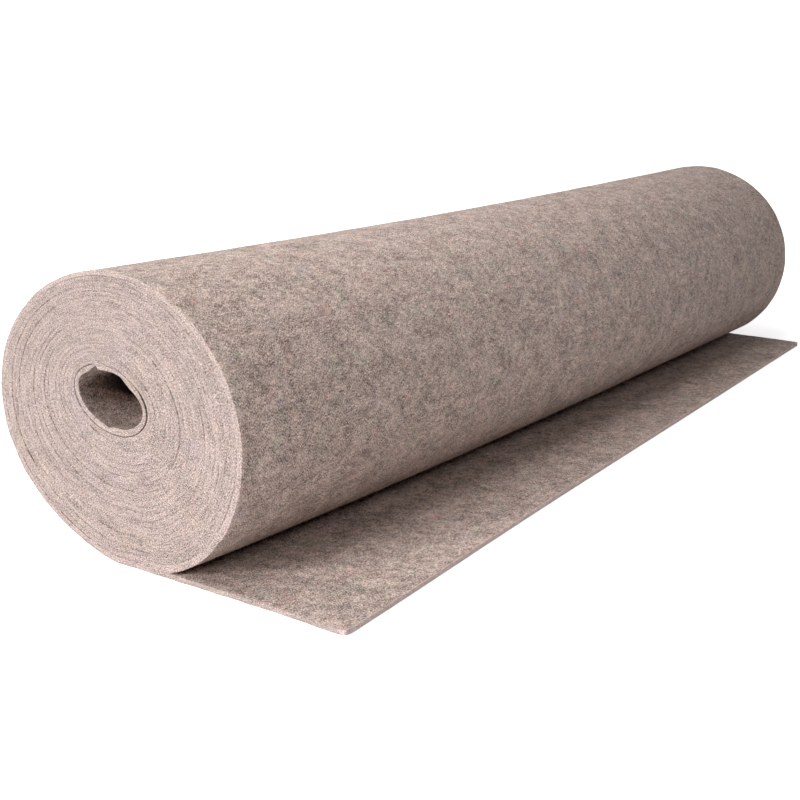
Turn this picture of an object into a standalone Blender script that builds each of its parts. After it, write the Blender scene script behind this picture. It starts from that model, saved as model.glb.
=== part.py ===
"""Roll of protective needle felt, wound on itself with no core, its free end laid out in front of it.

One length of fleece makes the whole thing, so it is one solid. Its section is the outline of the
wound body with the free end running out from under it, carried over the width of the cloth, and
the hollow in the middle goes right through. The width runs along X, the free end points to -Y,
and the roll stands on z = 0, in metres.
"""

from math import cos, pi, radians, sin, sqrt

import bmesh
import bpy

# The cloth
CLOTH_WIDTH = 1.0
CLOTH_THICKNESS = 0.0036
FREE_END_NEAR = 0.2015  # from the middle of the roll to the cut end, at the -X edge
FREE_END_FAR = 0.1413  # the same at the +X edge, as the end was cut by hand
CORNER_RADIUS = 0.005
EDGE_ROUNDING = 0.0012

# The wound body: a circle that has slumped under its own weight
MEAN_RADIUS = 0.1121
SLUMP = 0.061  # how much wider than high, as a share of the radius
SLUMP_LEAN = radians(10.0)
EGG = 0.018  # fuller at the top and the front underside
SQUARENESS = 0.0044
SQUARENESS_LEAN = radians(-6.4)
FLAT_SPOT_DEPTH = 0.0014  # how far the weight presses the underside flat
WAIST = 0.0115  # the middle of the width is wound this much slimmer
BEND = 0.0092  # how far the body bows towards the free end, between its two ends
BEND_PLACE = 0.75  # under 1 brings the bow nearer to the -X end

# The hollow, seen from the -X end. It is wide enough to run straight through the bowed body.
HOLLOW_Y = 0.0051
HOLLOW_Z = 0.1212
HOLLOW_HALF_WIDTH = 0.0315
HOLLOW_HALF_HEIGHT = 0.0198
HOLLOW_LEAN = radians(13.2)
INNER_END_ANGLE = radians(63.5)  # where the innermost turn stops
INNER_END_SLANT = radians(3.3)  # the angle that the notch beside it takes up
INNER_END_LIFT = 0.0029  # its last stretch springs outwards, away from the hollow
INNER_END_LENGTH = radians(20.0)
INNER_SAG = 0.001  # the cloth on both sides of the end hangs into the hollow
INNER_SAG_LENGTH = radians(40.0)

# How finely the round forms are drawn
OUTLINE_STEPS = 88
HOLLOW_STEPS = 48
WIDTH_STEPS = 10
FINE_STEPS = 720  # for working out how far the body reaches
HALVINGS = 40  # for working out where the body meets the floor and the free end
UNDERSIDE = radians(2.0)  # this far each side of straight down is surely flat
CUTTER_OVERHANG = 0.02


def clear_scene():
    for old in list(bpy.data.objects):
        bpy.data.objects.remove(old, do_unlink=True)


def new_collection(name):
    collection = bpy.data.collections.new(name)
    bpy.context.scene.collection.children.link(collection)
    return collection


def felt_material():
    material = bpy.data.materials.new("beige_needle_felt")
    material.use_nodes = True
    shader = material.node_tree.nodes["Principled BSDF"]
    shader.inputs["Base Color"].default_value = (0.48, 0.39, 0.36, 1.0)
    shader.inputs["Roughness"].default_value = 0.95
    shader.inputs["Metallic"].default_value = 0.0
    return material


def body_radius(angle):
    """Distance from the roll's middle to its surface, for an angle that starts at +Y and turns up."""
    slump = SLUMP * cos(2 * (angle - SLUMP_LEAN))
    egg = EGG * cos(3 * angle)
    squareness = SQUARENESS * cos(4 * (angle - SQUARENESS_LEAN))
    return MEAN_RADIUS * (1 + slump + egg + squareness)


def body_reach(toward):
    """How far the body reaches from its middle in the direction at this angle."""
    angles = [2 * pi * step / FINE_STEPS for step in range(FINE_STEPS)]
    return max(body_radius(angle) * cos(angle - toward) for angle in angles)


def middle_height():
    """Height of the roll's middle, once the flat spot is pressed."""
    return body_reach(-pi / 2) - FLAT_SPOT_DEPTH


def roll_y():
    """Place of the roll's middle that puts the middle of the whole footprint on the origin."""
    return (FREE_END_NEAR - body_reach(0.0)) / 2


def angle_at_height(height, low, high):
    """The angle between low and high, low being the lower point, at which the surface has this height."""
    base = middle_height()
    for _ in range(HALVINGS):
        between = (low + high) / 2
        if base + body_radius(between) * sin(between) < height:
            low = between
        else:
            high = between
    return (low + high) / 2


def waist_scale(share):
    """Size of the section at this share of the width, from the -X edge."""
    return 1 - WAIST * sin(pi * share)


def bend_forward(share):
    """How far towards -Y the section stands at this share of the width."""
    return BEND * sin(pi * share**BEND_PLACE)


def free_end_reach(share, from_edge):
    reach = FREE_END_NEAR + (FREE_END_FAR - FREE_END_NEAR) * share
    if from_edge >= CORNER_RADIUS:
        return reach
    beside = CORNER_RADIUS - from_edge
    return reach - (CORNER_RADIUS - sqrt(CORNER_RADIUS**2 - beside**2))


def section_outline(share, from_edge):
    """(y, z) points of the roll and its free end, from the cut end along the floor and round the body."""
    middle = middle_height()
    scale = waist_scale(share)
    forward = bend_forward(share)
    inset = max(0.0, EDGE_ROUNDING - from_edge)
    lift_off = angle_at_height(0.0, -pi / 2 + UNDERSIDE, 0.0)
    landing = angle_at_height(CLOTH_THICKNESS, 3 * pi / 2 - UNDERSIDE, pi)
    reach = free_end_reach(share, from_edge)
    points = [(-reach, 0.0)]
    for step in range(OUTLINE_STEPS + 1):
        angle = lift_off + (landing - lift_off) * step / OUTLINE_STEPS
        radius = body_radius(angle) * scale - inset
        height = max(0.0, middle * scale + radius * sin(angle))
        points.append((radius * cos(angle) - forward, height))
    top = CLOTH_THICKNESS - inset
    points[1] = (points[1][0], 0.0)
    points[-1] = (points[-1][0], top)
    points.append((-reach, top))
    return points


def width_stations():
    """Distances from the -X edge, closer together where the edges and corners are rounded."""
    corner = [0.0, EDGE_ROUNDING, CORNER_RADIUS / 2, CORNER_RADIUS]
    between = [CLOTH_WIDTH * step / WIDTH_STEPS for step in range(1, WIDTH_STEPS)]
    return corner + between + [CLOTH_WIDTH - place for place in reversed(corner)]


def build_fleece(collection):
    """The loft over the width: each ring is the section at one station."""
    mesh = bpy.data.meshes.new("fleece_roll")
    shape = bmesh.new()
    rings = []
    for place in width_stations():
        from_edge = min(place, CLOTH_WIDTH - place)
        ring = [
            shape.verts.new((place - CLOTH_WIDTH / 2, y + roll_y(), z))
            for y, z in section_outline(place / CLOTH_WIDTH, from_edge)
        ]
        rings.append(ring)
    count = len(rings[0])
    for first, second in zip(rings, rings[1:]):
        for i in range(count):
            j = (i + 1) % count
            shape.faces.new((first[i], first[j], second[j], second[i]))
    shape.faces.new(rings[0])
    shape.faces.new(rings[-1])
    bmesh.ops.recalc_face_normals(shape, faces=shape.faces)
    shape.to_mesh(mesh)
    shape.free()
    fleece = bpy.data.objects.new("fleece_roll", mesh)
    collection.objects.link(fleece)
    return fleece


def hollow_radius(angle):
    """The oval left by the innermost turn, with the small notch at its free end."""
    turned = angle - HOLLOW_LEAN
    oval = 1 / sqrt((cos(turned) / HOLLOW_HALF_WIDTH) ** 2 + (sin(turned) / HOLLOW_HALF_HEIGHT) ** 2)
    past_end = (angle - INNER_END_ANGLE) % (2 * pi)
    before_end = 2 * pi - INNER_END_SLANT - past_end
    lift = INNER_END_LIFT * max(0.0, 1 - before_end / INNER_END_LENGTH)
    sag = INNER_SAG * max(0.0, 1 - min(past_end, before_end) / INNER_SAG_LENGTH)
    return oval + lift - sag


def build_hollow_cutter(collection):
    """A flat outline of the hollow, made thick along X and a little longer than the cloth is wide."""
    curve = bpy.data.curves.new("hollow", "CURVE")
    curve.dimensions = "2D"
    curve.fill_mode = "BOTH"
    curve.extrude = CLOTH_WIDTH / 2 + CUTTER_OVERHANG
    outline = curve.splines.new("POLY")
    outline.points.add(HOLLOW_STEPS - 1)
    outline.use_cyclic_u = True
    for step, point in enumerate(outline.points):
        angle = INNER_END_ANGLE + (2 * pi - INNER_END_SLANT) * step / (HOLLOW_STEPS - 1)
        radius = hollow_radius(angle)
        point.co = (radius * cos(angle), radius * sin(angle), 0.0, 1.0)
    guide = bpy.data.objects.new("hollow_outline", curve)
    guide.rotation_euler = (pi / 2, 0.0, pi / 2)
    guide.location = (0.0, roll_y() + HOLLOW_Y, HOLLOW_Z)
    collection.objects.link(guide)
    bpy.context.view_layer.update()
    evaluated = guide.evaluated_get(bpy.context.evaluated_depsgraph_get())
    mesh = bpy.data.meshes.new_from_object(evaluated)
    shape = bmesh.new()
    shape.from_mesh(mesh)
    bmesh.ops.remove_doubles(shape, verts=shape.verts, dist=0.00001)
    bmesh.ops.recalc_face_normals(shape, faces=shape.faces)
    shape.to_mesh(mesh)
    shape.free()
    cutter = bpy.data.objects.new("hollow_cutter", mesh)
    cutter.matrix_world = guide.matrix_world.copy()
    bpy.data.objects.remove(guide, do_unlink=True)
    collection.objects.link(cutter)
    cutter.hide_render = True
    cutter.display_type = "WIRE"
    return cutter


def cut(target, cutter):
    boolean = target.modifiers.new("hollow", "BOOLEAN")
    boolean.operation = "DIFFERENCE"
    boolean.solver = "EXACT"
    boolean.object = cutter


def main():
    clear_scene()
    parts = new_collection("roll_of_protective_fleece")
    cutters = new_collection("cutters")
    fleece = build_fleece(parts)
    fleece.data.materials.append(felt_material())
    fleece.data.shade_smooth()
    fleece.data.set_sharp_from_angle(angle=radians(30))
    cut(fleece, build_hollow_cutter(cutters))


main()
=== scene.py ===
import math

import bpy
import numpy as np
from mathutils import Matrix, Vector


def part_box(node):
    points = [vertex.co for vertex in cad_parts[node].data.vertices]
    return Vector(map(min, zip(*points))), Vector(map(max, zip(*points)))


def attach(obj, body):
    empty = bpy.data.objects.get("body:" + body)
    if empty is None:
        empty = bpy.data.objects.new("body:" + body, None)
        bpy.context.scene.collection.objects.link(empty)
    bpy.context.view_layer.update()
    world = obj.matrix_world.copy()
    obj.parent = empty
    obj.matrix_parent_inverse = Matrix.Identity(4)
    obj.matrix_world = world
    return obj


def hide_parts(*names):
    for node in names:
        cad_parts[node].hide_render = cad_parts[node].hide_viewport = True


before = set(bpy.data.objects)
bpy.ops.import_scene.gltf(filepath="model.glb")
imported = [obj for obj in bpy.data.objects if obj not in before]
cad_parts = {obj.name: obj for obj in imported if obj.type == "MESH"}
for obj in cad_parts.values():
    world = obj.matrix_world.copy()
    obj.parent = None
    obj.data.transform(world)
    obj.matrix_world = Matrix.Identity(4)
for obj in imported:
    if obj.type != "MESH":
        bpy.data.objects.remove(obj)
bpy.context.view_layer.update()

# One length of recycled needle felt, wound on itself with no core, its outer end laid out in front.
# X runs across the cloth, the loose end points to -Y, and the roll stands on z = 0. All in metres.
# In the cloth, w counts turns from the outside in (the loose end is below 0), s runs in metres along
# it, d across it from the -X edge, and tau through it, 0 on the outer face and 1 on the inner one.
nodeName = "fleece_roll"
boxLow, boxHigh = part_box(nodeName)

body = {  # the wound section, a circle slumped under its own weight
    "radius": 0.1121,
    "slump": 0.061,
    "slumpLean": math.radians(10.0),
    "egg": 0.018,
    "square": 0.0044,
    "squareLean": math.radians(-6.4),
    "flatSpot": 0.0014,
    "waist": 0.0115,  # how much slimmer the middle of the width is
    "bend": 0.0092,  # how far the body bows forward between its ends
    "bendPlace": 0.75,  # under 1 brings the bow nearer to the near end
}

hollow = {  # what the innermost turn leaves open
    "y": 0.0051,  # its middle, behind the roll's own middle
    "z": 0.1212,
    "halfWidth": 0.0315,
    "halfHeight": 0.0198,
    "lean": math.radians(13.2),
    "endAngle": math.radians(60.2),  # where the innermost turn is cut
    "endLift": 0.0029,  # its end is pressed thinner, away from the hollow
    "endLength": 0.056,  # in turns
    "endPush": 0.0009,  # how far the end pushes out the turns over it, less in each
    "sag": 0.0010,  # the cloth beside the end hangs in
    "sagLength": 0.11,
    "ripples": (  # degrees round the hollow, half width, height outwards in metres
        (40.0, 13.0, -0.0009),
        (122.0, 18.0, 0.0007),
        (153.0, 17.0, -0.0017),
        (186.0, 18.0, 0.0012),
        (255.0, 14.0, -0.0009),
        (277.0, 10.0, 0.0010),
    ),
}

cloth = {
    "width": boxHigh.x - boxLow.x,
    "thickness": 0.0036,
    "nearReach": 0.2015,  # from the roll's middle to the cut end, at the -X edge
    "farReach": 0.1413,
    "cornerRadius": 0.005,
    "cornerFlare": 0.0024,  # the near corner is cut a little long
    "cutLine": (  # share of the width, how much longer the hand-cut end is there
        (0.0, 0.0022), (0.06, 0.0021), (0.16, 0.0007), (0.30, -0.0003),
        (0.42, 0.0001), (0.70, 0.0011), (1.0, 0.0013)),
    "cutRounding": 0.00045,
    "turns": 20.417,
    "climbStart": 0.93,  # share of a turn at which it climbs onto the one outside it
    "climbLength": 0.07,
    "climbFade": 0.82,  # how quickly that step evens out from turn to turn
    "tightGap": 0.000025,
    "looseGap": 0.00052,  # outside the innermost turn
    "unevenness": 0.00022,
    "endWander": 0.00018,  # how far the turns stand in and out at the ends of the roll
    "endFray": 0.00012,
    "wanderDepth": 0.045,  # how deep into the roll that carries on, in metres
}

mesh = {
    "stepsPerTurn": 72,  # rings of points in a hidden turn
    "fineSteps": 144,  # rings in the outermost turn
    "fineTurns": 1.0,
    "freeSteps": 40,  # rings on the loose end
    "edgeStations": (0.00009, 0.0016, 0.006, 0.022, 0.07),  # metres from both edges
    "middleStations": (0.18, 0.34, 0.5, 0.66, 0.82),  # shares of the width
    "fineStations": 46,  # points across the outermost turn and the loose end
}


def smooth(value):
    value = np.clip(value, 0.0, 1.0)
    return value * value * (3 - 2 * value)


def waves(seed, shortest, longest, count):
    # a fixed bundle of waves over the flat cloth, drawn once and read at any place
    draw = np.random.default_rng(seed)
    length = shortest * (longest / shortest) ** draw.random(count)
    turn = draw.random(count) * 2 * math.pi
    return {
        "x": 2 * math.pi * np.cos(turn) / length,
        "s": 2 * math.pi * np.sin(turn) / length,
        "phase": draw.random(count) * 2 * math.pi,
        "size": 1 / math.sqrt(count / 2),
    }


def readWaves(bundle, x, s):
    total = np.zeros(np.broadcast(x, s).shape)
    for wx, ws, phase in zip(bundle["x"], bundle["s"], bundle["phase"]):
        total += np.sin(wx * x + ws * s + phase)
    return total * bundle["size"]


def bodyRadius(angle):
    slump = body["slump"] * np.cos(2 * (angle - body["slumpLean"]))
    egg = body["egg"] * np.cos(3 * angle)
    square = body["square"] * np.cos(4 * (angle - body["squareLean"]))
    return body["radius"] * (1 + slump + egg + square)


roundAngles = np.linspace(0, 2 * math.pi, 1440)
rollHeight = -(bodyRadius(roundAngles) * np.sin(roundAngles)).min() - body["flatSpot"]
rollY = boxHigh.y - (bodyRadius(roundAngles) * np.cos(roundAngles)).max()


def waistScale(x):
    share = np.clip(x / cloth["width"] + 0.5, 0.0, 1.0)
    return 1 - body["waist"] * np.sin(math.pi * share)


def bendForward(x):
    share = np.clip(x / cloth["width"] + 0.5, 0.0, 1.0)
    return body["bend"] * np.sin(math.pi * share ** body["bendPlace"])


def bodyPoint(angle):
    r = bodyRadius(angle)
    return np.stack([r * np.cos(angle), np.maximum(rollHeight + r * np.sin(angle), 0.0)], -1)


def hollowPoint(angle):
    turned = angle - hollow["lean"]
    wide = np.cos(turned) / hollow["halfWidth"]
    high = np.sin(turned) / hollow["halfHeight"]
    r = 1 / np.sqrt(wide**2 + high**2)
    return np.stack([hollow["y"] + r * np.cos(angle), hollow["z"] + r * np.sin(angle)], -1)


def turnAngle(w):
    # turns count from the middle of the flat spot, up the back and over the top
    return -math.pi / 2 + 2 * math.pi * w


lastTurn = cloth["turns"]
layerCount = lastTurn + 1.0


def climbShare(turnShare):
    # near the end of each turn the cloth climbs onto the one outside it
    return smooth((turnShare - cloth["climbStart"]) / cloth["climbLength"])


def layerPlace(w):
    # depth in layers: the outermost turn stays on the body, the innermost on the hollow
    share = w % 1.0
    outer = (share - climbShare(share)) * cloth["climbFade"] ** np.floor(w)
    left = lastTurn - w
    share = left % 1.0
    inner = (share - climbShare(share)) * cloth["climbFade"] ** np.floor(left)
    return w - outer + inner


def hollowShift(w):
    # how far the innermost turn's inner face stands outside the hollow's oval
    degrees = np.degrees(turnAngle(w)) % 360
    left = lastTurn - w
    shift = np.zeros_like(w)
    for place, half, height in hollow["ripples"]:
        away = np.abs((degrees - place + 180) % 360 - 180)
        shift += height * smooth(1 - away / half / 1.7)  # half is left at 0.85 of the half width
    shift += hollow["endLift"] * np.clip(1 - left / hollow["endLength"], 0, 1)
    beside = np.maximum(1 - left / hollow["sagLength"], 1 - (1 - left) / hollow["sagLength"])
    return shift - hollow["sag"] * np.clip(beside, 0, 1)


def endPush(w):
    # the turns outside the cut end are pressed out a little over it
    left = lastTurn - w
    push = np.zeros_like(w)
    for over in range(1, 5):
        away = np.abs(left - over + 0.004)
        width = 0.05 + 0.02 * over  # in turns, wider farther out
        push += hollow["endPush"] * 0.6**over * smooth(1 - away / width)
    return push


openings = (  # gaps that show: turn from the outside, from and to in degrees, width in metres
    (0.0, 35.0, 135.0, 0.00016),
    (2.0, 5.0, 80.0, 0.00009),
    (4.0, -5.0, 62.0, 0.00008),
    (5.0, 215.0, 255.0, 0.00016),
    (6.0, -25.0, 50.0, 0.00007),
    (8.0, -10.0, 60.0, 0.00005),
    (8.0, 222.0, 250.0, 0.00012),
    (18.0, 146.0, 216.0, 0.00100),
)


def gapAt(w):
    # the air between a turn and the next one inside it
    gap = cloth["tightGap"] * (1.0 + 0.7 * np.sin(5.3 * w + 1.0) * np.sin(3.1 * w))
    loose = 0.5 + 0.5 * np.sin(6.446 * w + 0.7) * np.sin(2.34 * w + 2.0)
    gap += 0.4 * cloth["tightGap"] * loose
    degrees = np.degrees(turnAngle(w))
    for turn, start, stop, size in openings:
        at = degrees - 360 * turn
        middle, half = (start + stop) / 2, (stop - start) / 2
        gap += size * smooth(1.4 * (1 - np.abs(at - middle) / half))
    # the innermost turn stands off from the one outside it, all but its first stretch
    left = lastTurn - w
    behind = smooth((left - 1.0) / 0.03) * smooth((1.79 - left) / 0.1)
    return gap + cloth["looseGap"] * behind


def freeThickness(y):
    # the loose end swells to the full pitch where the roll holds it
    down = turnAngle(0.0)
    pitch = np.linalg.norm(bodyPoint(down) - hollowPoint(down)) / layerCount
    grown = pitch - gapAt(0.0)
    return cloth["thickness"] + (grown - cloth["thickness"]) * smooth((y + 0.045) / 0.04)


def woundFaces(w):
    # (y, z) of the outer and inner faces, from the roll's middle line on the floor
    angle = turnAngle(w)
    climb = climbShare(w % 1.0)
    base, core = bodyPoint(angle), hollowPoint(angle)
    skin = base + (core - base) * (climb / layerCount)[:, None]
    lying = freeThickness(skin[:, 0]) + cloth["tightGap"]
    overLoose = w % 1.0 > 0.75  # the front underside rests on the loose end
    skin[:, 1] = np.where(overLoose, np.maximum(skin[:, 1], lying), skin[:, 1])
    length = np.linalg.norm(skin - core, axis=1)
    away = (skin - core) / length[:, None]
    pitch = length / (layerCount - climb)
    depth = (layerPlace(w) - climb) * pitch - endPush(w)
    nextTurn = np.minimum(w + 1, lastTurn)
    inner = (layerPlace(nextTurn) - climb) * pitch - endPush(nextTurn) - gapAt(w)
    onHollow = length - hollowShift(w)
    inside = smooth((w - (lastTurn - 1)) / 0.009)  # only the innermost turn bounds the hollow
    inner = inner + (onHollow - inner) * inside
    outerFace = skin - away * depth[:, None]
    innerFace = skin - away * inner[:, None]
    return outerFace, innerFace


def turnStations():
    # where rings of points stand along the cloth: below 0 on the loose end, then in turns
    cut = np.array([0.0, 0.0004, 0.0015, 0.004]) / cloth["nearReach"]
    free = np.linspace(0.009 / cloth["nearReach"], 1.0, mesh["freeSteps"], endpoint=False)
    loose = np.concatenate([cut, free]) - 1.0
    fine = np.arange(0, mesh["fineTurns"], 1 / mesh["fineSteps"])
    step = 1 / mesh["stepsPerTurn"]
    coarse = np.arange(mesh["fineTurns"], lastTurn - 0.003, step)
    tip = lastTurn - np.array([0.009, 0.0033, 0.0008, 0.0])  # closer together at the inner end
    coarse = coarse[coarse < tip[0] - 0.3 * step]
    # and where the innermost turn comes out from behind that end and bounds the hollow
    beside = lastTurn - 1 + np.array([-0.0045, -0.0005, 0.003, 0.0065, 0.0095])
    clear = np.abs(coarse[:, None] - beside[None, :]).min(axis=1) > 0.25 * step
    coarse = np.sort(np.concatenate([coarse[clear], beside]))
    return loose, fine, np.concatenate([coarse, tip])


def widthStations():
    # distances from the near edge, few for the hidden turns and more for what shows
    edge = np.array(mesh["edgeStations"])
    width = cloth["width"]
    few = np.concatenate([edge, np.array(mesh["middleStations"]) * width, (width - edge)[::-1]])
    extra = np.linspace(0, width, mesh["fineStations"])[1:-1]
    clear = np.abs(extra[:, None] - few[None, :]).min(axis=1) > 0.006
    many = np.sort(np.concatenate([few, extra[clear]]))
    return few, many


def ringSize(across):
    # how many points a ring has: both faces, and three round each edge
    return 2 * len(across) + 6


def ringLayout(across):
    # distance from the near edge and share of the thickness, once round the cloth's section
    corner = 0.00002
    width = cloth["width"]
    outer = [(d, 0.0) for d in across]
    inner = [(d, 1.0) for d in across[::-1]]
    near = [(corner, 0.97), (0.0, 0.5), (corner, 0.03)]
    far = [(width - corner, 0.03), (width, 0.5), (width - corner, 0.97)]
    ring = np.array(near + outer + far + inner)
    return ring[:, 0], ring[:, 1]


lumps = waves(11, 0.02, 0.09, 26)
nearWander = waves(13, 0.05, 0.9, 30)
farWander = waves(14, 0.05, 0.9, 30)
edgeFray = waves(15, 0.012, 0.03, 24)


def edgeShift(s, fromNear, fromFar):
    # each turn stands a little in or out at the ends of the roll
    nearMove = readWaves(nearWander, 0.0, s) * cloth["endWander"]
    farMove = readWaves(farWander, 0.0, s) * cloth["endWander"]
    nearMove += cloth["endFray"] * readWaves(edgeFray, 0.0, s)
    farMove += cloth["endFray"] * readWaves(edgeFray, 0.3, s)
    nearMove = nearMove * smooth(1 - fromNear / cloth["wanderDepth"])
    return nearMove - farMove * smooth(1 - fromFar / cloth["wanderDepth"])


def freeReach(d):
    # from the roll's middle to the cut end, at this distance from the near edge
    share = d / cloth["width"]
    reach = cloth["nearReach"] + (cloth["farReach"] - cloth["nearReach"]) * share
    places, offsets = zip(*cloth["cutLine"])
    beside = (-0.04, -0.02, 0.0, 0.02, 0.04)  # evens out the bends of the cut line
    reach = reach + sum(np.interp(share + move, places, offsets) for move in beside) / len(beside)
    fromEdge = np.clip(np.minimum(d, cloth["width"] - d), 0.0, cloth["cornerRadius"])
    inCorner = cloth["cornerRadius"] - fromEdge
    return reach - (cloth["cornerRadius"] - np.sqrt(cloth["cornerRadius"] ** 2 - inCorner**2))


def lengthAlong(w):
    # metres along the cloth from the near corner of the cut end
    fine = np.linspace(0, lastTurn, 8000)
    outerFace, innerFace = woundFaces(fine)
    middle = (outerFace + innerFace) / 2
    run = np.concatenate([[0], np.cumsum(np.linalg.norm(np.diff(middle, axis=0), axis=1))])
    return cloth["nearReach"] + np.interp(w, fine, run)


def ringPoints(w, across, s):
    # points of the rings at w: arrays of rings by points, as x, y, z and the place in the cloth
    d, tau = ringLayout(across)
    d, tau = np.broadcast_arrays(d[None, :], tau[None, :])
    w, s = w[:, None], s[:, None]
    x = d - cloth["width"] / 2
    if w[0, 0] < 0:
        reach = freeReach(d)
        contact = bendForward(x)
        fromCut = (reach - contact) * (1 + w)
        y = fromCut - reach
        d, tau, x = (np.broadcast_to(value, y.shape) for value in (d, tau, x))
        along = y + cloth["nearReach"]
        tau = np.where(fromCut < cloth["cutRounding"] / 2, 0.5 + (tau - 0.5) * 0.72, tau)
        thick = freeThickness(y + contact)
        lump = np.clip(0.5 + 0.5 * readWaves(lumps, x, along), 0, 2) * cloth["unevenness"]
        lump = lump * smooth(-(y + contact) / 0.05) * (tau > 0.9)  # on top only
        z = tau * thick + lump
        place = np.stack([d, along, tau * cloth["thickness"]], -1)
        flare = cloth["cornerFlare"] * smooth((-y - 0.12) / 0.08) ** 2
        x = x - flare * smooth(1 - d / 0.1)
        s = along
    else:
        outerFace, innerFace = woundFaces(w[:, 0])
        mixed = outerFace[:, None, :] * (1 - tau)[..., None] + innerFace[:, None, :] * tau[..., None]
        ending = lastTurn - w < 0.0004  # the inner end is rounded off
        middle = outerFace[:, None, :] * 0.5 + innerFace[:, None, :] * 0.5
        mixed = np.where(ending[..., None], mixed + (middle - mixed) * 0.28, mixed)
        lump = np.clip(0.5 + 0.5 * readWaves(lumps, x, s), 0, 2) * cloth["unevenness"]
        lump = lump * smooth(w / 0.09) * smooth((0.92 - w) / 0.04) * (tau < 0.1)  # outside only
        outward = outerFace - innerFace
        outward = outward / np.linalg.norm(outward, axis=1)[:, None]
        mixed = mixed + outward[:, None, :] * lump[..., None]
        scale = waistScale(x)
        bowed = bendForward(x) * np.clip(1 - (layerPlace(w) + tau) / layerCount, 0, 1)
        y, z = mixed[..., 0] * scale - bowed, mixed[..., 1] * scale
        d, tau, s = (np.broadcast_to(value, y.shape) for value in (d, tau, s))
        place = np.stack([d, s, tau * cloth["thickness"]], -1)
    x = x + edgeShift(s, d, cloth["width"] - d)
    z = np.maximum(z, 0.0)
    return np.stack([x, y + rollY, z], -1), place


def ringFaces(first, second, count):
    # quads between two rings of the same layout, given by their first point
    i = np.arange(count)
    j = (i + 1) % count
    return np.stack([first + i, first + j, second + j, second + i], -1).tolist()


def joinFaces(fineStart, many, coarseStart, few):
    # polygons where the rings change from many points to few
    faces = []
    index = {round(float(d), 6): n for n, d in enumerate(many)}
    stations = [index[round(float(d), 6)] for d in few]
    fineCount, coarseCount = len(many), len(few)
    fineSide = [fineStart + n for n in range(ringSize(many))]
    coarseSide = [coarseStart + n for n in range(ringSize(few))]
    outerFine = fineSide[3:3 + fineCount]
    outerCoarse = coarseSide[3:3 + coarseCount]
    innerFine = fineSide[6 + fineCount:][::-1]
    innerCoarse = coarseSide[6 + coarseCount:][::-1]
    for a in range(coarseCount - 1):
        low, high = stations[a], stations[a + 1]
        faces.append(outerFine[low:high + 1] + [outerCoarse[a + 1], outerCoarse[a]])
        faces.append(innerFine[low:high + 1][::-1] + [innerCoarse[a], innerCoarse[a + 1]])
    nearFine = [innerFine[0]] + fineSide[:3] + [outerFine[0]]
    nearCoarse = [innerCoarse[0]] + coarseSide[:3] + [outerCoarse[0]]
    farFine = [outerFine[-1]] + fineSide[3 + fineCount:6 + fineCount] + [innerFine[-1]]
    farCoarse = [outerCoarse[-1]] + coarseSide[3 + coarseCount:6 + coarseCount] + [innerCoarse[-1]]
    for fine, coarse in ((nearFine, nearCoarse), (farFine, farCoarse)):
        for a in range(4):
            faces.append([fine[a], fine[a + 1], coarse[a + 1], coarse[a]])
    return faces


def capFaces(start, across, flip):
    # the cut face at one end of the cloth, from outer side to inner side
    count = len(across)
    ring = [start + n for n in range(ringSize(across))]
    outer = [ring[2]] + ring[3:3 + count] + [ring[3 + count]]
    inner = [ring[0]] + ring[6 + count:][::-1] + [ring[5 + count]]
    faces = [[ring[1], outer[0], inner[0]], [outer[-1], ring[4 + count], inner[-1]]]
    for a in range(len(outer) - 1):
        faces.append([outer[a], outer[a + 1], inner[a + 1], inner[a]])
    return [face[::-1] for face in faces] if flip else faces


rooms = {  # where each part of the surface lies on the texture map, most room to what shows
    "outside": (0.005, 0.395, 0.995, 0.995),
    "looseTop": (0.005, 0.225, 0.995, 0.39),
    "cutEnd": (0.005, 0.2175, 0.995, 0.2225),
    "nearEdges": (0.005, 0.005, 0.325, 0.212),
    "farEdges": (0.335, 0.005, 0.655, 0.212),
    "hollow": (0.665, 0.085, 0.995, 0.212),
    "innerEnd": (0.665, 0.0805, 0.995, 0.0835),
    "looseUnder": (0.665, 0.058, 0.995, 0.078),
    "woundOuter": (0.665, 0.033, 0.995, 0.055),
    "woundInner": (0.665, 0.005, 0.995, 0.030),
}
roomNames = list(rooms)


def roomOf(w, ringIndex, stations):
    # which room the face starting at this point of a ring belongs to
    if ringIndex < 3 or ringIndex == 2 * stations + 5:
        return "nearEdges"
    if 2 + stations <= ringIndex <= 5 + stations:
        return "farEdges"
    outer = ringIndex < 3 + stations
    if w < 0:
        return "looseUnder" if outer else "looseTop"
    if outer:
        return "outside" if w < mesh["fineTurns"] - 1e-6 else "woundOuter"
    return "hollow" if w >= lastTurn - 1.02 else "woundInner"


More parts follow.
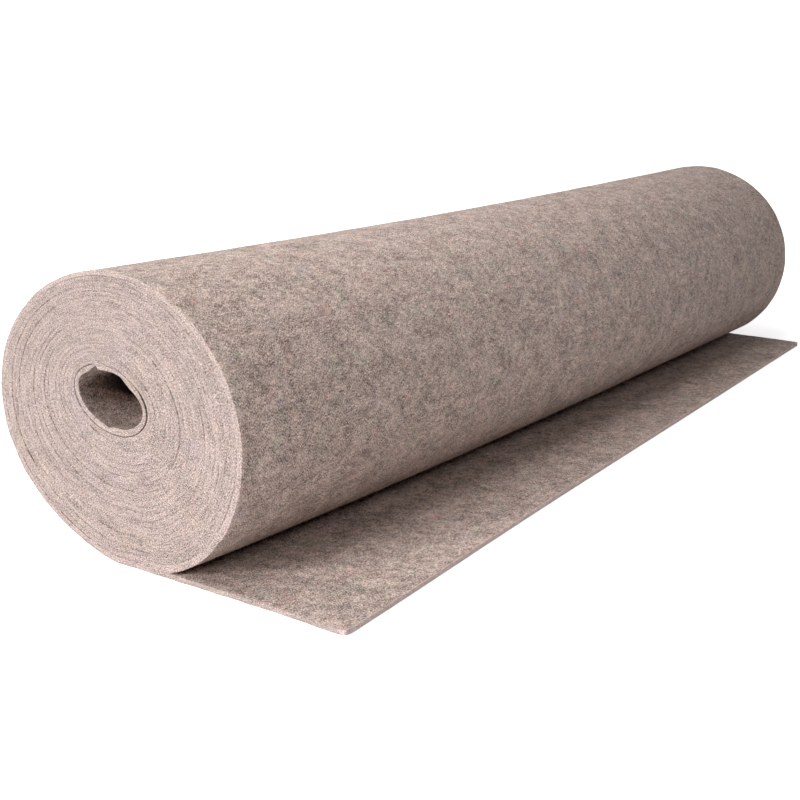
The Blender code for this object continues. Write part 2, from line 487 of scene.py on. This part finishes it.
def layTexture(data, points, places, faceRooms):
    # a texture map from the cloth's own measures, and from the side view for the wound edges
    totals = np.empty(len(data.polygons), np.int32)
    vertices = np.empty(len(data.loops), np.int32)
    data.polygons.foreach_get("loop_total", totals)
    data.loops.foreach_get("vertex_index", vertices)
    room = np.repeat([roomNames.index(name) for name in faceRooms], totals)
    d, s, t = places[vertices].T
    y, z = points[vertices, 1], points[vertices, 2]
    whole = float(lengthAlong(lastTurn))
    first = float(lengthAlong(1.0))
    inner = float(lengthAlong(lastTurn - 1.03))
    dShare, sShare = d / cloth["width"], s / whole
    yShare = (y - boxLow.y + 0.002) / (boxHigh.y - boxLow.y + 0.004)
    zShare = z / (boxHigh.z + 0.002)
    shares = {
        "outside": (dShare, (s - cloth["nearReach"]) / (first - cloth["nearReach"])),
        "looseTop": (dShare, s / cloth["nearReach"]),
        "cutEnd": (dShare, t / cloth["thickness"]),
        "nearEdges": (yShare, zShare),
        "farEdges": (yShare, zShare),
        "hollow": (dShare, (s - inner) / (whole - inner)),
        "innerEnd": (dShare, t / cloth["thickness"]),
        "looseUnder": (dShare, s / cloth["nearReach"]),
        "woundOuter": (sShare, dShare),
        "woundInner": (sShare, dShare),
    }
    flat = np.zeros((len(vertices), 2), np.float32)
    for number, (name, corners) in enumerate(rooms.items()):
        left, low, right, high = corners
        here = room == number
        u, v = shares[name]
        flat[here, 0] = left + (right - left) * np.clip(u[here], 0, 1)
        flat[here, 1] = low + (high - low) * np.clip(v[here], 0, 1)
    data.uv_layers.new(name="OFBake").data.foreach_set("uv", flat.ravel())


def clothFaces(loose, fine, coarse, many, few):
    # all the faces, and the room on the texture map that each belongs to
    faces, faceRooms = [], []
    count = ringSize(many)
    turns = np.concatenate([loose, fine])
    for r in range(len(turns) - 1):
        faces += ringFaces(r * count, (r + 1) * count, count)
        faceRooms += [roomOf(turns[r], i, len(many)) for i in range(count)]
    fineTotal = len(turns) * count
    faces += joinFaces(fineTotal - count, many, fineTotal, few)
    faceRooms += ["outside", "woundInner"] * (len(few) - 1) + ["nearEdges"] * 4 + ["farEdges"] * 4
    count = ringSize(few)
    start = fineTotal
    for w in coarse[:-1]:
        faces += ringFaces(start, start + count, count)
        faceRooms += [roomOf(w, i, len(few)) for i in range(count)]
        start += count
    for cap, room in ((capFaces(0, many, False), "cutEnd"), (capFaces(start, few, True), "innerEnd")):
        faces += cap
        faceRooms += [room] * len(cap)
    return faces, faceRooms


def buildRoll():
    loose, fine, coarse = turnStations()
    few, many = widthStations()
    parts = []
    for w, across in ((loose, many), (fine, many), (coarse, few)):
        s = lengthAlong(np.maximum(w, 0.0))
        parts.append(ringPoints(w, across, s))
    points = np.concatenate([part[0].reshape(-1, 3) for part in parts])
    places = np.concatenate([part[1].reshape(-1, 3) for part in parts])
    faces, faceRooms = clothFaces(loose, fine, coarse, many, few)
    data = bpy.data.meshes.new("woundFelt")
    data.from_pydata(points.tolist(), [], faces)
    if data.validate():
        print("some faces of the felt were mended")
    place = data.attributes.new("clothPlace", "FLOAT_VECTOR", "POINT")
    place.data.foreach_set("vector", places.astype(np.float32).ravel())
    looseCount = len(loose) * ringSize(many)
    fromCut = np.ones(len(points))  # metres from the cut end, or at least far from it
    fromCut[:looseCount] = points[:looseCount, 1] - rollY + freeReach(places[:looseCount, 0])
    cutPlace = data.attributes.new("fromCut", "FLOAT", "POINT")
    cutPlace.data.foreach_set("value", fromCut.astype(np.float32))
    layTexture(data, points, places, faceRooms)
    data.update()
    data.shade_smooth()
    data.set_sharp_from_angle(angle=math.radians(40.0))
    piece = bpy.data.objects.new("wound_felt", data)
    bpy.context.scene.collection.objects.link(piece)
    return piece


def flatArea():
    # the cut end runs askew, so the cloth is shorter along its far edge
    whole = float(lengthAlong(lastTurn))
    return cloth["width"] * (whole - (cloth["nearReach"] - cloth["farReach"]) / 2)


felt = {
    "faceDeep": (0.540, 0.393, 0.334, 1.0),  # the dark fibres are warmer than the pale ones
    "facePale": (0.510, 0.407, 0.361, 1.0),
    "edge": (0.505, 0.404, 0.371, 1.0),
    "dark": (0.13, 0.085, 0.065, 1.0),
    "cream": (0.86, 0.76, 0.70, 1.0),
    "tints": (  # colour, size of the flecks in metres, where they begin, strength
        ((0.54, 0.31, 0.27, 1.0), 0.0210, 0.57, 0.30),
        ((0.42, 0.34, 0.39, 1.0), 0.0190, 0.58, 0.28),
        ((0.41, 0.42, 0.32, 1.0), 0.0230, 0.56, 0.30),
        ((0.54, 0.24, 0.20, 1.0), 0.0110, 0.67, 0.44),
    ),
    "endTints": (  # the same for the cut edges, where the flecks run over many turns
        ((0.51, 0.395, 0.41, 1.0), 0.0300, 0.50, 0.38),
        ((0.52, 0.415, 0.350, 1.0), 0.0260, 0.52, 0.33),
    ),
    "strandLength": 0.0056,
    "strandWidth": 0.00058,
    "directions": (8.0, 52.0, 95.0, 139.0),  # degrees that the fibres lie at
    "curl": 0.0016,  # how far they wander from that
    "roughness": 0.95,
    "paintedRimHighlight": 0.10,  # painted highlight along the near edge of the outermost turn
    "seamDark": 0.26,
    "paintedCutLight": 0.50,  # painted light: the cut end is made paler in the colour
    "hollowFibres": 2.6,  # how much the pale fibres show inside the hollow
    "hollowLit": (0.65, 0.96),  # painted shade on the hollow's wall: light kept at its mouth and deeper in
    "hollowShade": (0.78, 0.07),  # the same where the roll shades it
    "shadeStart": (0.013, 0.025),  # metres from the mouth, less below and more under the top
    "shadeSlope": 2.4,
    "shadeTop": (0.006, 0.013),  # the top of the wall is lit again, metres above the middle
}


def node(tree, kind, values=(), **settings):
    made = tree.nodes.new(kind)
    for name, value in settings.items():
        setattr(made, name, value)
    for slot, value in values:
        if isinstance(value, bpy.types.NodeSocket):
            tree.links.new(value, made.inputs[slot])
        else:
            made.inputs[slot].default_value = value
    return made


def calc(tree, operation, first, second=0.0, third=0.0):
    values = ((0, first), (1, second), (2, third))
    return node(tree, "ShaderNodeMath", values, operation=operation).outputs[0]


def spread(tree, value, start, stop, low=0.0, high=1.0):
    values = (("Value", value), ("From Min", start), ("From Max", stop), ("To Min", low), ("To Max", high))
    return node(tree, "ShaderNodeMapRange", values, interpolation_type="SMOOTHSTEP").outputs["Result"]


def vectorCalc(tree, operation, *inputs):
    return node(tree, "ShaderNodeVectorMath", enumerate(inputs), operation=operation).outputs[0]


def noise(tree, place, size, detail=1.0, shift=0.0, output="Fac"):
    # soft noise over the cloth; size is one feature or one for each direction
    sizes = (size, size, size) if isinstance(size, float) else size
    values = (("Vector", place), ("Location", (shift, 0.7 * shift, 0.0)), ("Scale", sizes))
    moved = node(tree, "ShaderNodeMapping", values, vector_type="TEXTURE")
    values = (("Vector", moved.outputs[0]), ("Scale", 1.0), ("Detail", detail), ("Roughness", 0.6))
    return node(tree, "ShaderNodeTexNoise", values).outputs[output]


def mixColour(tree, share, first, second):
    values = (("Factor", share), (6, first), (7, second))
    return node(tree, "ShaderNodeMix", values, data_type="RGBA").outputs[2]


def fibres(tree, place):
    # strands that lie every way in the plane of the cloth, gently curled
    curl = noise(tree, place, 0.005, 1.0, 0.0, "Color")
    curl = vectorCalc(tree, "SUBTRACT", curl, (0.5, 0.5, 0.5))
    amount = (felt["curl"], felt["curl"], felt["curl"] * 0.3)
    bent = vectorCalc(tree, "MULTIPLY_ADD", curl, amount, place)
    size = (felt["strandLength"], felt["strandWidth"], felt["strandWidth"] * 0.8)
    total, highest, lowest = 0.0, 0.0, 1.0
    for number, degrees in enumerate(felt["directions"]):
        start, lean = (0.011 * number, 0.0, 0.0), (0.0, 0.0, math.radians(degrees))
        values = (("Vector", bent), ("Location", start), ("Rotation", lean), ("Scale", size))
        turned = node(tree, "ShaderNodeMapping", values, vector_type="TEXTURE").outputs[0]
        values = (("Vector", turned), ("Scale", 1.0), ("Detail", 1.0), ("Roughness", 0.65))
        strand = node(tree, "ShaderNodeTexNoise", values).outputs["Fac"]
        total = calc(tree, "ADD", total, strand)
        highest = calc(tree, "MAXIMUM", highest, strand)
        lowest = calc(tree, "MINIMUM", lowest, strand)
    total = calc(tree, "SUBTRACT", total, 0.5 * len(felt["directions"]))
    return total, spread(tree, highest, 0.66, 0.80), spread(tree, lowest, 0.34, 0.17)


def layersOfLight(tree, place, total, grain, tuft):
    # how light the cloth is on its faces and on its cut edges: coarse and fine noise added up
    speck = noise(tree, place, (0.0005, 0.0012, 0.0005), 1.0, 0.057)
    mottle = noise(tree, place, 0.0055, 2.0, 0.031)
    cloud = noise(tree, place, 0.022, 2.0, 0.19)
    streak = noise(tree, place, (0.002, 0.0085, 0.0006), 1.0, 0.093)
    arc = noise(tree, place, (0.010, 0.034, 0.004), 1.0, 0.27)
    ends = noise(tree, place, (0.0011, 0.0017, 0.00032), 2.0, 0.071)
    faceLight = calc(tree, "MULTIPLY_ADD", total, 0.9, 1.0)
    edgeLight = calc(tree, "MULTIPLY_ADD", total, 0.15, 0.93)
    for layer, faceAmount, edgeAmount in (
        (grain, 3.0, 0.3),
        (speck, 4.3, 3.4),
        (tuft, 0.3, 0.0),
        (mottle, 1.7, 0.3),
        (cloud, 1.1, 0.4),
        (streak, 0.0, 0.9),
        (arc, 0.0, 0.35),
        (ends, 0.0, 1.15),
    ):
        swing = calc(tree, "SUBTRACT", layer, 0.5)
        faceLight = calc(tree, "MULTIPLY_ADD", swing, faceAmount, faceLight)
        edgeLight = calc(tree, "MULTIPLY_ADD", swing, edgeAmount, edgeLight)
    return faceLight, edgeLight


def hollowShade(tree, spot, fromEnd, tuft):
    # painted shade for the little light that comes back from deep inside the hollow, least where the roll
    # shades its wall
    above = node(tree, "ShaderNodeSeparateXYZ", ((0, spot),)).outputs[2]
    above = calc(tree, "SUBTRACT", above, hollow["z"])
    deep = calc(tree, "MULTIPLY_ADD", above, felt["shadeSlope"], fromEnd)
    deep = calc(tree, "MULTIPLY_ADD", calc(tree, "SUBTRACT", tuft, 0.5), 0.012, deep)
    underTop = spread(tree, above, *felt["shadeTop"], 1.0, 0.0)
    shaded = calc(tree, "MULTIPLY", spread(tree, deep, *felt["shadeStart"]), underTop)
    lit = spread(tree, fromEnd, 0.0, 0.034, *felt["hollowLit"])
    dim = spread(tree, fromEnd, 0.002, 0.040, *felt["hollowShade"])
    return calc(tree, "MULTIPLY_ADD", calc(tree, "SUBTRACT", dim, lit), shaded, lit)


def feltMaterial():
    material = bpy.data.materials.new("recycledNeedleFelt")
    material.use_nodes = True
    tree = material.node_tree
    shader = tree.nodes["Principled BSDF"]
    place = node(tree, "ShaderNodeAttribute", attribute_name="clothPlace").outputs["Vector"]
    spot = node(tree, "ShaderNodeTexCoord").outputs["Object"]
    total, darkStrands, creamStrands = fibres(tree, place)
    grain = noise(tree, place, (0.0008, 0.0018, 0.0007), 2.0, 0.013)
    tuft = noise(tree, place, 0.0019, 1.0, 0.047)
    # the two faces show whole fibres, the cut edges only short ends along the layers
    split = node(tree, "ShaderNodeSeparateXYZ", ((0, place),))
    across, along = split.outputs[0], split.outputs[1]
    through = calc(tree, "DIVIDE", split.outputs[2], cloth["thickness"])
    offMiddle = calc(tree, "ABSOLUTE", calc(tree, "SUBTRACT", through, 0.5))
    onFace = spread(tree, offMiddle, 0.42, 0.49)
    onEdge = calc(tree, "SUBTRACT", 1.0, onFace)
    faceLight, edgeLight = layersOfLight(tree, place, total, grain, tuft)
    light = calc(tree, "MULTIPLY_ADD", calc(tree, "SUBTRACT", faceLight, edgeLight), onFace, edgeLight)
    # painted highlight: the outermost turn's near edge is made paler in the colour
    rimHighlightMask = spread(tree, across, 0.0015, 0.004, 1.0, 0.0)
    rimHighlightMask = calc(tree, "MULTIPLY", rimHighlightMask, spread(tree, along, 0.88, 0.92, 1.0, 0.0))
    light = calc(tree, "MULTIPLY_ADD", rimHighlightMask, felt["paintedRimHighlight"], light)
    # the seams between the turns are shaded, more in some stretches than in others
    fromEnd = calc(tree, "MINIMUM", across, calc(tree, "SUBTRACT", cloth["width"], across))
    seam = spread(tree, offMiddle, 0.37, 0.47)
    seam = calc(tree, "MULTIPLY", seam, spread(tree, fromEnd, 0.0001, 0.0006, 1.0, 0.0))
    stretches = noise(tree, place, (1.0, 0.03, 1.0), 1.0, 0.4)
    seam = calc(tree, "MULTIPLY", seam, spread(tree, stretches, 0.40, 0.66, 0.1, 0.9))
    # the seams fade under the painted rim highlight
    seam = calc(tree, "MULTIPLY", seam, calc(tree, "MULTIPLY_ADD", rimHighlightMask, -0.7, 1.0))
    light = calc(tree, "MULTIPLY", light, calc(tree, "MULTIPLY_ADD", seam, -felt["seamDark"], 1.0))
    # pale fibres stand out inside the hollow, and the cut end gets painted light
    innermost = float(lengthAlong(lastTurn - 1.0))
    inside = spread(tree, along, innermost - 0.01, innermost + 0.005)
    inside = calc(tree, "MULTIPLY", onFace, inside)
    paleFibres = calc(tree, "MULTIPLY", creamStrands, inside)
    light = calc(tree, "MULTIPLY_ADD", paleFibres, felt["hollowFibres"], light)
    # painted light near the cut end, which is made paler
    fromCut = node(tree, "ShaderNodeAttribute", attribute_name="fromCut").outputs["Fac"]
    cutLightMask = spread(tree, fromCut, 0.0003, 0.0014, 1.0, 0.0)
    light = calc(tree, "MULTIPLY_ADD", cutLightMask, felt["paintedCutLight"], light)
    light = calc(tree, "MINIMUM", calc(tree, "MAXIMUM", light, 0.15), 2.1)
    # painted shade: the hollow's wall is darkened in the colour
    hollowPaintedShade = calc(tree, "SUBTRACT", hollowShade(tree, spot, fromEnd, tuft), 1.0)
    light = calc(tree, "MULTIPLY", light, calc(tree, "MULTIPLY_ADD", inside, hollowPaintedShade, 1.0))
    colour = mixColour(tree, spread(tree, light, 0.5, 1.5), felt["faceDeep"], felt["facePale"])
    colour = mixColour(tree, onFace, felt["edge"], colour)
    for tint, size, start, strength in felt["tints"]:
        fleck = noise(tree, place, size, 1.0, 0.3 + 40 * size)
        fleck = spread(tree, fleck, start, start + 0.16, 0.0, strength)
        fleck = calc(tree, "MULTIPLY", fleck, calc(tree, "MULTIPLY_ADD", onEdge, -0.7, 1.0))
        colour = mixColour(tree, fleck, colour, tint)
    for tint, size, start, strength in felt["endTints"]:
        fleck = noise(tree, spot, size, 1.0, 0.6 + 50 * size)
        fleck = spread(tree, fleck, start, start + 0.2, 0.0, strength)
        colour = mixColour(tree, calc(tree, "MULTIPLY", fleck, onEdge), colour, tint)
    strandShare = calc(tree, "MULTIPLY_ADD", onEdge, -0.4, 0.62)
    colour = mixColour(tree, calc(tree, "MULTIPLY", darkStrands, strandShare), colour, felt["dark"])
    colour = mixColour(tree, calc(tree, "MULTIPLY", creamStrands, strandShare), colour, felt["cream"])
    shade = node(tree, "ShaderNodeVectorMath", ((0, colour), (3, light)), operation="SCALE").outputs[0]
    tree.links.new(shade, shader.inputs["Base Color"])
    height = calc(tree, "MULTIPLY_ADD", total, 0.7, calc(tree, "MULTIPLY", grain, 0.8))
    values = (("Strength", 0.7), ("Distance", 0.0008), ("Height", height))
    bump = node(tree, "ShaderNodeBump", values).outputs["Normal"]
    tree.links.new(bump, shader.inputs["Normal"])
    shader.inputs["Roughness"].default_value = felt["roughness"]
    shader.inputs["Specular IOR Level"].default_value = 0.2
    shader.inputs["Sheen Weight"].default_value = 0.12
    shader.inputs["Sheen Roughness"].default_value = 0.5
    return material


camera = {
    "position": (-1.1216, -0.6400, 0.3648),
    "azimuth": math.radians(-54.82),
    "elevation": math.radians(15.04),
    "roll": math.radians(0.42),
    "lens": 60.597,
    "sensor": 36.0,
}


def placeCamera():
    a, b, c = camera["azimuth"], camera["elevation"], camera["roll"]
    back = Vector((math.sin(a) * math.cos(b), -math.cos(a) * math.cos(b), math.sin(b)))
    level = Vector((math.cos(a), math.sin(a), 0.0))
    upright = back.cross(level)
    right = level * math.cos(c) + upright * math.sin(c)
    up = upright * math.cos(c) - level * math.sin(c)
    data = bpy.data.cameras.new("studioCamera")
    data.lens = camera["lens"]
    data.sensor_width = camera["sensor"]
    data.clip_start = 0.01
    data.clip_end = 60.0
    rig = bpy.data.objects.new("studioCamera", data)
    turned = Matrix((right, up, back)).transposed().to_4x4()
    rig.matrix_world = Matrix.Translation(camera["position"]) @ turned
    bpy.context.scene.collection.objects.link(rig)
    bpy.context.scene.camera = rig


lamps = {  # soft lamps: suns by the way that they shine from, panels by their place
    "keySun": {"from": (165.0, 25.0), "softness": 8.0, "power": 0.52},
    "highSun": {"from": (193.0, 55.0), "softness": 18.0, "power": 0.448},
    "sidePanel": {"at": (-3.4, 0.9, 1.3), "aim": (-0.3, 0.0, 0.1), "size": 0.45, "power": 40.6},
    "backPanel": {"at": (0.1, 1.6, 1.4), "aim": (-0.2, 0.0, 0.1), "size": 1.0, "power": 10.4},
    "topPanel": {"at": (-0.42, 0.1, 1.3), "aim": (-0.4, 0.0, 0.1), "size": 0.7, "power": 8.2},
    "nearPanel": {"at": (-1.9, 0.30, 0.30), "aim": (-0.5, 0.0, 0.1), "size": 0.5, "power": 6.9},
    "farPanel": {"at": (3.0, 0.2, 0.22), "aim": (0.5, 0.0, 0.1), "size": 0.5, "power": 9.0},
    "frontPanel": {"at": (-0.80, -1.28, 1.25), "aim": (-0.45, 0.0, 0.1), "size": 0.68, "power": 5.95},
}


def placeLamps():
    for name, lamp in lamps.items():
        if "from" in lamp:
            data = bpy.data.lights.new(name, "SUN")
            data.angle = math.radians(lamp["softness"])
            around, above = (math.radians(value) for value in lamp["from"])
            flat = math.cos(above)
            source = Vector((math.cos(around) * flat, math.sin(around) * flat, math.sin(above)))
            aim = -source
        else:
            data = bpy.data.lights.new(name, "AREA")
            data.size = lamp["size"]
            source = Vector(lamp["at"])
            aim = Vector(lamp["aim"]) - source
        data.energy = lamp["power"]
        rig = bpy.data.objects.new(name, data)
        rig.location = source
        rig.rotation_mode = "QUATERNION"
        rig.rotation_quaternion = aim.to_track_quat("-Z", "Y")
        bpy.context.scene.collection.objects.link(rig)


studio = {
    "floorSize": 40.0,
    "floorColour": (0.88, 0.88, 0.88, 1.0),
    "floorDrop": 0.0003,  # so that the felt's underside and the floor don't share a plane
    "floorGlow": 0.117,  # what lights the felt
    "nearGlow": 0.70,  # what the camera sees instead, beside the roll and farther off
    "farGlow": 1.1,
    "glowReach": 0.35,
    "airColour": (1.0, 0.88, 0.80, 1.0),
    "airLight": 0.02,
    "seenColour": (1.0, 1.0, 1.0, 1.0),  # the white that the camera sees behind the roll
    "airSeen": 1.1,
}


def placeFloor():
    half = studio["floorSize"] / 2
    data = bpy.data.meshes.new("studioFloor")
    z = -studio["floorDrop"]
    corners = [(-half, -half, z), (half, -half, z), (half, half, z), (-half, half, z)]
    data.from_pydata(corners, [], [(0, 1, 2, 3)])
    floor = bpy.data.objects.new("studio_floor", data)
    material = bpy.data.materials.new("paleFloor")
    material.use_nodes = True
    tree = material.node_tree
    shader = tree.nodes["Principled BSDF"]
    shader.inputs["Base Color"].default_value = studio["floorColour"]
    shader.inputs["Roughness"].default_value = 0.9
    shader.inputs["Emission Color"].default_value = (1.0, 1.0, 1.0, 1.0)
    # metres from the patch of floor that the roll stands on
    away = vectorCalc(tree, "ABSOLUTE", node(tree, "ShaderNodeTexCoord").outputs["Object"])
    away = vectorCalc(tree, "SUBTRACT", away, (boxHigh.x, boxHigh.y, 0.0))
    away = vectorCalc(tree, "MAXIMUM", away, (0.0, 0.0, 0.0))
    away = node(tree, "ShaderNodeVectorMath", ((0, away),), operation="LENGTH").outputs["Value"]
    seenGlow = spread(tree, away, 0.0, studio["glowReach"], studio["nearGlow"], studio["farGlow"])
    toCamera = node(tree, "ShaderNodeLightPath").outputs["Is Camera Ray"]
    glow = calc(tree, "SUBTRACT", seenGlow, studio["floorGlow"])
    glow = calc(tree, "MULTIPLY_ADD", glow, toCamera, studio["floorGlow"])
    tree.links.new(glow, shader.inputs["Emission Strength"])
    data.materials.append(material)
    bpy.context.scene.collection.objects.link(floor)


def placeAir():
    # faint light from all round, and plain white where the camera looks past the floor
    world = bpy.data.worlds.new("studioAir")
    world.use_nodes = True
    tree = world.node_tree
    tree.nodes.clear()
    values = (("Color", studio["airColour"]), ("Strength", studio["airLight"]))
    lit = node(tree, "ShaderNodeBackground", values).outputs[0]
    values = (("Color", studio["seenColour"]), ("Strength", studio["airSeen"]))
    seen = node(tree, "ShaderNodeBackground", values).outputs[0]
    toCamera = node(tree, "ShaderNodeLightPath").outputs["Is Camera Ray"]
    mixed = node(tree, "ShaderNodeMixShader", ((0, toCamera), (1, lit), (2, seen))).outputs[0]
    node(tree, "ShaderNodeOutputWorld", (("Surface", mixed),))
    bpy.context.scene.world = world


placeCamera()
print("camera placed")
rollPiece = buildRoll()
rollPiece.data.materials.append(feltMaterial())
print("felt wound:", len(rollPiece.data.polygons), "faces")
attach(rollPiece, "root")
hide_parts(nodeName)
flatLength = float(lengthAlong(lastTurn))
flatArea()
print("flat length", round(flatLength, 3), "flat area", round(flatArea(), 3))
placeLamps()
placeFloor()
placeAir()
scene = bpy.context.scene
scene.view_settings.view_transform = "Standard"
scene.view_settings.look = "None"
print("studio lit")
